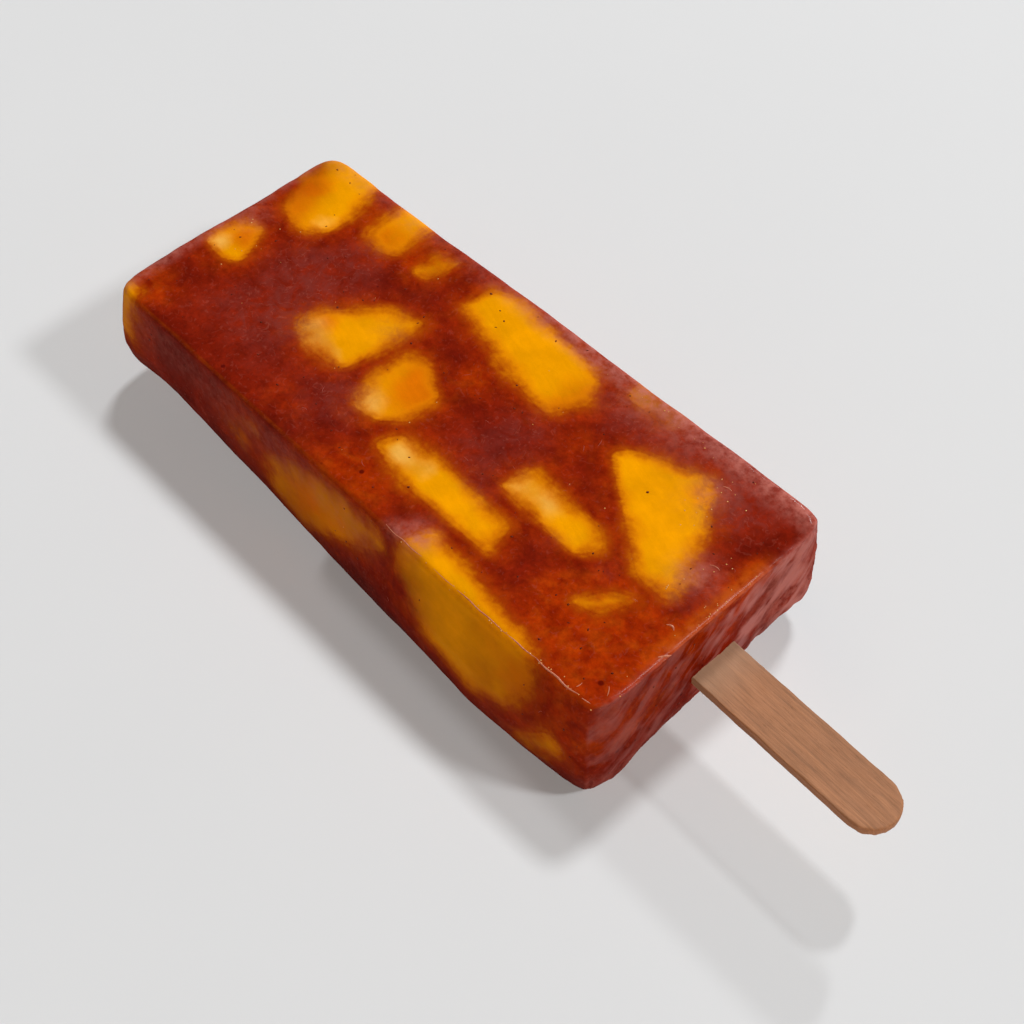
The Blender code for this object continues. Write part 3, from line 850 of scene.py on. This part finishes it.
def scatter(name, models, placings):
    """Copies of a few models, each with its own mesh, as one piece."""
    copies = []
    for number, (kind, matrix) in enumerate(placings):
        made = new_object(f"{name}_{number}", models[kind].data.copy())
        made.matrix_world = matrix
        copies.append(made)
    for model in models:
        bpy.data.objects.remove(model, do_unlink=True)
    return joined(name, copies)


# Ways in through each side of the block.
SIDES = {
    "top": (0, 0, -1),
    "under": (0, 0, 1),
    "near": (0, 1, 0),
    "far": (0, -1, 0),
    "stick end": (-1, 0, 0),
    "tip": (1, 0, 0),
}
# How far outside the ray starts that finds the skin, and how high the face that it rests on reaches.
RAY_START = 50.0 * MM
RESTING = 0.2 * MM
# Ranges of length, in millimetres, the part of it that a speck is wide, and how thick a speck is.
SPECK_LENGTH = (0.25, 0.62)
SPECK_WIDTH = (0.5, 0.9)
SPECK_THICKNESS = 0.16
SPECK_LIFT = 0.045 * MM
HAIR_LENGTH = (0.5, 1.7)
HAIR_RADIUS = 0.028
CRYSTAL_LENGTH = (0.15, 0.38)
CRYSTAL_LIFT = 0.02 * MM
# Hairs keep this far off the fruit.
HAIR_CLEAR = 0.8 * MM
# Each small thing is made in this many shapes.
SHAPES = 3


def lay_on(tree, place, way, heading, size, lift):
    """Placing of a small thing on a skin: it lies flat where a ray along way from outside meets the skin,
    headed at an angle from the block's length, or from upright on the two ends. Nothing lies on the face
    that the block rests on."""
    way = Vector(way)
    spot, normal, _, _ = tree.ray_cast(on_block(*place) - way * RAY_START, way)
    if spot is None or spot.z < RESTING:
        return None
    length = Vector((0, 0, 1)) if abs(way.x) > 0.5 else Vector((1, 0, 0))
    ahead = (length - normal * length.dot(normal)).normalized()
    frame_of_skin = Matrix((ahead, normal.cross(ahead), normal)).transposed().to_4x4()
    turn = frame_of_skin @ Matrix.Rotation(heading, 4, "Z")
    return Matrix.Translation(spot + normal * lift) @ turn @ Matrix.Diagonal((*size, 1.0))


def strewn(draw, tree, counts, size_of, lift, keep_off=None):
    """Placings of small things all over the block, so many to a side, and clear of the faces in keep_off."""
    placings = []
    for side, count in counts.items():
        for _ in range(count):
            x = draw.uniform(2, BLOCK_LENGTH - 3)
            y = draw.uniform(-24, 24)
            z = draw.uniform(3, BLOCK_HEIGHT - 2)
            size = size_of(draw)
            heading = draw.uniform(0, math.tau)
            spot = lay_on(tree, (x, y, z), SIDES[side], heading, size, lift)
            if spot is None or (keep_off and keep_off.find_nearest(spot.translation)[3] < HAIR_CLEAR):
                continue
            placings.append((draw.randrange(SHAPES), spot))
    return placings


def speck_size(draw):
    """Length, width and thickness of a speck."""
    length = draw.uniform(*SPECK_LENGTH) * MM
    return length, length * draw.uniform(*SPECK_WIDTH), SPECK_THICKNESS * MM


def hair_size(draw):
    """Scale of a hair, which stands up a little less than it bends."""
    length = draw.uniform(*HAIR_LENGTH) * MM
    return length, length, length * 0.6


def crystal_models():
    """Small lumps with broken outlines, one unit across."""
    models = []
    for number in range(SHAPES):
        bpy.ops.object.select_all(action="DESELECT")
        bpy.ops.mesh.primitive_ico_sphere_add(subdivisions=1, radius=0.5)
        made = bpy.context.active_object
        with editing(made):
            bpy.ops.transform.vertex_random(offset=0.16, seed=number + 3)
            bpy.ops.transform.resize(value=(1, 0.7 + 0.1 * number, 0.5))
        models.append(made)
    return models


def hair_models():
    """Tapered hairs one unit long, each with its own curve."""
    models = []
    for number in range(SHAPES):
        angle = math.radians(25.0 + 40.0 * number)
        radius = 1.0 / angle
        bpy.ops.object.select_all(action="DESELECT")
        bpy.ops.mesh.primitive_circle_add(
            vertices=5, radius=HAIR_RADIUS, fill_type="NGON",
            location=(radius, 0, 0), rotation=(math.pi / 2, 0, 0),
        )
        made = bpy.context.active_object
        bpy.ops.object.transform_apply(location=True, rotation=True, scale=True)
        with editing(made):
            bpy.ops.mesh.spin(steps=6, angle=angle, center=(0, 0, 0), axis=(0, 0, 1), use_auto_merge=False)
            bpy.ops.mesh.select_all(action="SELECT")
            bpy.ops.mesh.normals_make_consistent(inside=False)
        # Thin the two ends, and lay the hair along x with its middle at the origin.
        for vertex in made.data.vertices:
            turn = math.atan2(vertex.co.y, vertex.co.x)
            along = abs(2.0 * abs(turn) / angle - 1.0)
            middle = Vector((math.cos(turn), math.sin(turn), 0)) * radius
            vertex.co = middle + (vertex.co - middle) * (1.0 - 0.7 * along**2)
            vertex.co = Matrix.Rotation(-(math.pi + angle) / 2.0, 3, "Z") @ vertex.co
            vertex.co.y += radius
        models.append(made)
    return models


def melt_thread(tree, width, route):
    """A thread of refrozen melt that lies along the skin, thin at both ends."""
    curve = bpy.data.curves.new("melt thread", "CURVE")
    curve.dimensions = "3D"
    curve.bevel_depth = width * MM
    curve.bevel_resolution = 1
    curve.resolution_u = 8
    curve.use_fill_caps = True
    spline = curve.splines.new("NURBS")
    spline.points.add(len(route) - 1)
    spline.order_u = 3
    spline.use_endpoint_u = True
    for number, (point, (x, y)) in enumerate(zip(spline.points, route)):
        spot = tree.ray_cast(on_block(x, y, BLOCK_HEIGHT + 20), Vector((0, 0, -1)))[0]
        if spot is None:
            raise RuntimeError(f"no ice under the melt thread at {x}, {y}")
        point.co = (*spot, 1.0)
        point.radius = 0.35 if number in (0, len(route) - 1) else 1.0
    made = new_object("melt thread", curve)
    pick(made)
    bpy.ops.object.convert(target="MESH")
    return made


class LOLLY_OT_specks(bpy.types.Operator):
    """Scatter the dark specks of skin and seed over fruit and ice."""

    bl_idname = "lolly.specks"
    bl_label = "Specks"

    def execute(self, context):
        draw = random.Random(context.scene.lolly_frost.seed)
        tree = face_tree([bpy.data.objects["ice_block"]])
        counts = {"top": 95, "under": 70, "near": 26, "far": 26, "stick end": 12, "tip": 12}
        placings = strewn(draw, tree, counts, speck_size, SPECK_LIFT)
        piece = scatter("berry_specks", crystal_models(), placings)
        finish = speckled_material("dark berry seed, wet", "#3A0A02", "#6A1E04", 0.6)
        finish_piece(piece, finish, "berry_ice")
        return {"FINISHED"}


# Crystals, pale as painted glints: middle of each drift, its spread along and across the block, and how many.
CRYSTAL_AND_GLINT_DRIFTS = (
    ((95, 23, 27), 10, 0.8, 12),
    ((104, 14, 27), 2.5, 3, 14),
    ((112, 2, 27), 2.5, 3.5, 10),
    ((95, -25.6, 27), 11, 0.3, 22),
    ((60, 0, 27), 29, 12, 18),
    ((10, 4, 27), 3, 4, 8),
    ((118.5, 0, 27), 0.8, 11, 16),
)
# Refrozen melt: each thread's thickness and the places that it runs through.
MELT_THREADS = (
    (0.09, ((71.5, -25.2), (73.5, -25.5), (75.5, -25.2), (78, -25.5), (80, -25.3))),
    (0.07, ((83, -25.5), (86, -25.7), (88, -25.5))),
    (0.1, ((88.5, -25.6), (91, -25.5), (93.5, -25.8), (96, -25.6), (99, -25.8))),
    (0.12, ((99, -25.8), (101.5, -25.6), (104, -25.8), (106, -25.5))),
    (0.17, ((106, -25.5), (108, -25.8), (110.5, -25.5), (113, -25.9), (115, -25.4))),
    (0.15, ((113, -26), (114.2, -24.8), (114, -23.7))),
    (0.16, ((115.8, -25.5), (117.5, -25.3), (118.8, -24.6))),
    (0.2, ((115.5, -6.9), (116, -6.5), (116.6, -6.5), (117, -6.9))),
    (0.2, ((118.7, -12.2), (119.1, -11.6), (119.6, -10.9), (119.8, -10.4))),
    (0.1, ((117.2, -21.2), (117.8, -21.7), (118.2, -22.6))),
    (0.12, ((112.6, 6), (113.4, 6.6), (114.4, 6.3))),
    (0.12, ((103.5, 18.9), (104.4, 19.4), (105.2, 19.2))),
)


class LOLLY_OT_frost(bpy.types.Operator):
    """Lay hairs of frost, a refrozen melt line and small crystals on the ice, bright as painted glints."""

    bl_idname = "lolly.frost"
    bl_label = "Frost Hairs and Crystals"

    def execute(self, context):
        draw = random.Random(context.scene.lolly_frost.seed + 1)
        tree = face_tree([bpy.data.objects["ice_block"]])
        fruit = face_tree([frame["nodes"][name] for name in FRUIT])
        counts = {"top": 34, "under": 24, "near": 4, "far": 6, "stick end": 10, "tip": 4}
        hairs = strewn(draw, tree, counts, hair_size, 0.0, keep_off=fruit)
        piece = scatter("frost_hairs", hair_models(), hairs)
        finish = speckled_material("frost hair under meltwater", "#7E2A1E", "#AC5A4A", 0.4)
        finish_piece(piece, finish, "berry_ice")

        threads = [melt_thread(tree, width, route) for width, route in MELT_THREADS]
        piece = joined("melt_threads", threads)
        finish = speckled_material("refrozen melt, white with air", "#964028", "#CE8A6C", 0.25)
        finish_piece(piece, finish, "berry_ice")

        crystals_and_painted_glints = []
        for (x, y, z), along, across, count in CRYSTAL_AND_GLINT_DRIFTS:
            for _ in range(count):
                length = draw.uniform(*CRYSTAL_LENGTH) * MM
                place = (draw.gauss(x, along), draw.gauss(y, across), z)
                heading = draw.uniform(0, math.tau)
                size = (length, length, length * 0.7)
                spot = lay_on(tree, place, SIDES["top"], heading, size, CRYSTAL_LIFT)
                if spot is not None:
                    crystals_and_painted_glints.append((draw.randrange(SHAPES), spot))
        piece = scatter("frost_crystals_and_painted_glints", crystal_models(), crystals_and_painted_glints)
        # The crystals' pale colour is partly a painted glint.
        finish = speckled_material("frost crystal with painted glint", "#A85A1C", "#DDB070", 0.12)
        finish_piece(piece, finish, "berry_ice")
        return {"FINISHED"}


# ---- stage


# Lights: name, direction as a slope (x, y) for each unit of height, disc size, power, colour, and what
# casts a shadow.
DAYLIGHT = (0.90, 0.93, 0.957)
WARM_LIGHT = (1.0, 0.68, 0.45)
LIGHTS = (
    ("main softbox", (-0.17, 0.49), 0.84, 172.0, DAYLIGHT, "block"),
    ("second softbox", (0.86, 0.50), 0.84, 152.0, DAYLIGHT, "block"),
    ("side softbox", (-0.29, 0.98), 0.52, 129.0, DAYLIGHT, "stick"),
    ("low side softbox", (-0.65, 1.85), 0.4, 122.0, DAYLIGHT, "stick"),
    ("warm front softbox", (2.6, -2.45), 2.4, 125.0, WARM_LIGHT, "stick"),
)
LIGHT_DISTANCE = 6.0
# The room's own faint light.
ROOM_COLOUR = (1.0, 0.8, 0.62, 1.0)
ROOM_STRENGTH = 0.04
# The sheet under the lolly, in metres: half the width of its flat part, half its whole width, the height
# of its rim, and how many strips the flat part and the rise have in its section.
SHEET_FLAT = 1.2
SHEET_REACH = 2.6
SHEET_RIM = 0.85
FLAT_STRIPS = 3
RISE_STRIPS = 12
SHEET_TURNS = 128
CAMERA_PLACE = Vector((134.50, -131.83, 271.90)) * MM
CAMERA_AIM = Vector((-0.4232, 0.4098, -0.8081))
CAMERA_ROLL = math.radians(0.41)
CAMERA_LENS = 66.8


class LOLLY_OT_stage(bpy.types.Operator):
    """Lay the table top and place the lights and the camera."""

    bl_idname = "lolly.stage"
    bl_label = "Table, Lights and Camera"

    def execute(self, context):
        scene = context.scene
        bpy.ops.object.select_all(action="DESELECT")
        # A round sheet, flat under the lolly and swept up towards its rim: half of its section, spun.
        section = [Vector((SHEET_FLAT * step / FLAT_STRIPS, 0, 0)) for step in range(FLAT_STRIPS)]
        for step in range(RISE_STRIPS + 1):
            across = SHEET_FLAT + (SHEET_REACH - SHEET_FLAT) * step / RISE_STRIPS
            section.append(Vector((across, 0, SHEET_RIM * (step / RISE_STRIPS) ** 2)))
        data = bpy.data.meshes.new("table_top")
        data.from_pydata(section, [(index, index + 1) for index in range(len(section) - 1)], [])
        floor = new_object("table_top", data)
        spin = floor.modifiers.new("spin", "SCREW")
        spin.steps = SHEET_TURNS
        spin.render_steps = SHEET_TURNS
        spin.use_merge_vertices = True
        spin.use_normal_flip = True
        apply_modifiers(floor)
        pick(floor)
        bpy.ops.object.shade_smooth()
        floor.data.materials.append(table_material())
        floor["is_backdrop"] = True

        data = bpy.data.cameras.new("camera")
        data.lens = CAMERA_LENS
        data.sensor_width = 36.0
        data.clip_start = 0.01
        camera = new_object("camera", data)
        turn = CAMERA_AIM.to_track_quat("-Z", "Y").to_matrix().to_4x4() @ Matrix.Rotation(CAMERA_ROLL, 4, "Z")
        camera.matrix_world = Matrix.Translation(CAMERA_PLACE) @ turn
        scene.camera = camera

        casters = {name: bpy.data.collections.new(f"{name} shadow") for name in ("block", "stick")}
        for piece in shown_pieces():
            casters["stick" if "stick" in piece.name else "block"].objects.link(piece)
        for name, slope, size, power, colour, caster in LIGHTS:
            data = bpy.data.lights.new(name, "AREA")
            data.shape = "DISK"
            data.size = size
            data.energy = power
            data.color = colour
            light = new_object(name, data)
            way = Vector((*slope, 1)).normalized()
            turn = way.to_track_quat("Z", "Y").to_matrix().to_4x4()
            light.matrix_world = Matrix.Translation(way * LIGHT_DISTANCE) @ turn
            light.light_linking.blocker_collection = casters[caster]

        world = bpy.data.worlds.new("white room")
        world.use_nodes = True
        background = world.node_tree.nodes["Background"]
        background.inputs["Color"].default_value = ROOM_COLOUR
        background.inputs["Strength"].default_value = ROOM_STRENGTH
        scene.world = world
        scene.view_settings.view_transform = "Standard"
        return {"FINISHED"}


# ---- add-on


SETTINGS = {
    "lolly_ice": LollyIceSettings,
    "lolly_fruit": LollyFruitSettings,
    "lolly_stick": LollyStickSettings,
    "lolly_frost": LollyFrostSettings,
}
OPERATORS = (
    LOLLY_OT_ice,
    LOLLY_OT_fruit,
    LOLLY_OT_stick,
    LOLLY_OT_specks,
    LOLLY_OT_frost,
    LOLLY_OT_stage,
)


class LOLLY_PT_panel(bpy.types.Panel):
    """Panel that lists the steps of the lolly."""

    bl_idname = "LOLLY_PT_panel"
    bl_label = "Fruit Ice Lolly"
    bl_space_type = "VIEW_3D"
    bl_region_type = "UI"
    bl_category = "Lolly"

    def draw(self, context):
        for name in SETTINGS:
            group = getattr(context.scene, name)
            for prop in group.bl_rna.properties:
                if not prop.is_readonly and prop.identifier != "name":
                    self.layout.prop(group, prop.identifier)
        for operator in OPERATORS:
            self.layout.operator(operator.bl_idname)


def register():
    """Register the settings, the operators and the panel."""
    for name, group in SETTINGS.items():
        bpy.utils.register_class(group)
        setattr(bpy.types.Scene, name, bpy.props.PointerProperty(type=group))
    for item in (*OPERATORS, LOLLY_PT_panel):
        bpy.utils.register_class(item)


def unregister():
    """Take them all out again."""
    for item in reversed((*OPERATORS, LOLLY_PT_panel)):
        bpy.utils.unregister_class(item)
    for name, group in SETTINGS.items():
        delattr(bpy.types.Scene, name)
        bpy.utils.unregister_class(group)


def main():
    """Build the whole scene."""
    register()
    bpy.ops.lolly.ice()
    bpy.ops.lolly.fruit()
    bpy.ops.lolly.stick()
    bpy.ops.lolly.specks()
    bpy.ops.lolly.frost()
    bpy.ops.lolly.stage()


if __name__ == "__main__":
    main()
